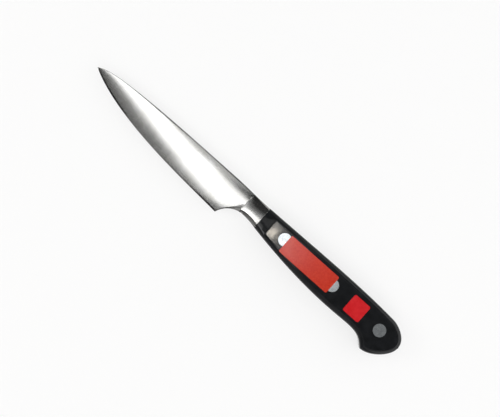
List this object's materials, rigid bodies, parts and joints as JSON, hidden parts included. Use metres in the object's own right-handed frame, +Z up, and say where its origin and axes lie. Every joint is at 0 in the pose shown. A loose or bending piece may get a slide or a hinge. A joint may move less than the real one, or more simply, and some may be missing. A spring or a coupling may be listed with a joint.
{
  "type": "petty knife",
  "caption": "Small forged kitchen knife: pointed blade with a finger notch, flared bolster and full tang between black riveted scales that end in a hooked butt.",
  "frame": {"origin": "centre of the bounding box at the surface the knife lies on, under the right scale's flat face", "axes": "+X from the tip to the butt, +Y from the cutting edge to the spine, +Z up out of the left face of the blade and handle"},
  "size_m": [0.2006, 0.0224, 0.0126],
  "materials": {
    "blade_steel": "stainless steel, satin ground across the blade, polished bolster",
    "scale_acetal": "moulded black acetal, buffed to a soft gloss",
    "rivet_steel": "stainless steel, ground flush with the scales",
    "label_paper": "red coated paper, bare",
    "inlay_enamel": "red enamel, bare"
  },
  "bodies": {
    "root": {"forged_blade": "blade_steel", "left_scale": "scale_acetal", "right_scale": "scale_acetal", "front_rivet_post": "rivet_steel", "front_rivet_sleeve": "rivet_steel", "middle_rivet_post": "rivet_steel", "middle_rivet_sleeve": "rivet_steel", "rear_rivet_post": "rivet_steel", "rear_rivet_sleeve": "rivet_steel", "grip_label": "label_paper", "square_inlay": "inlay_enamel"}
  },
  "joints": []
}
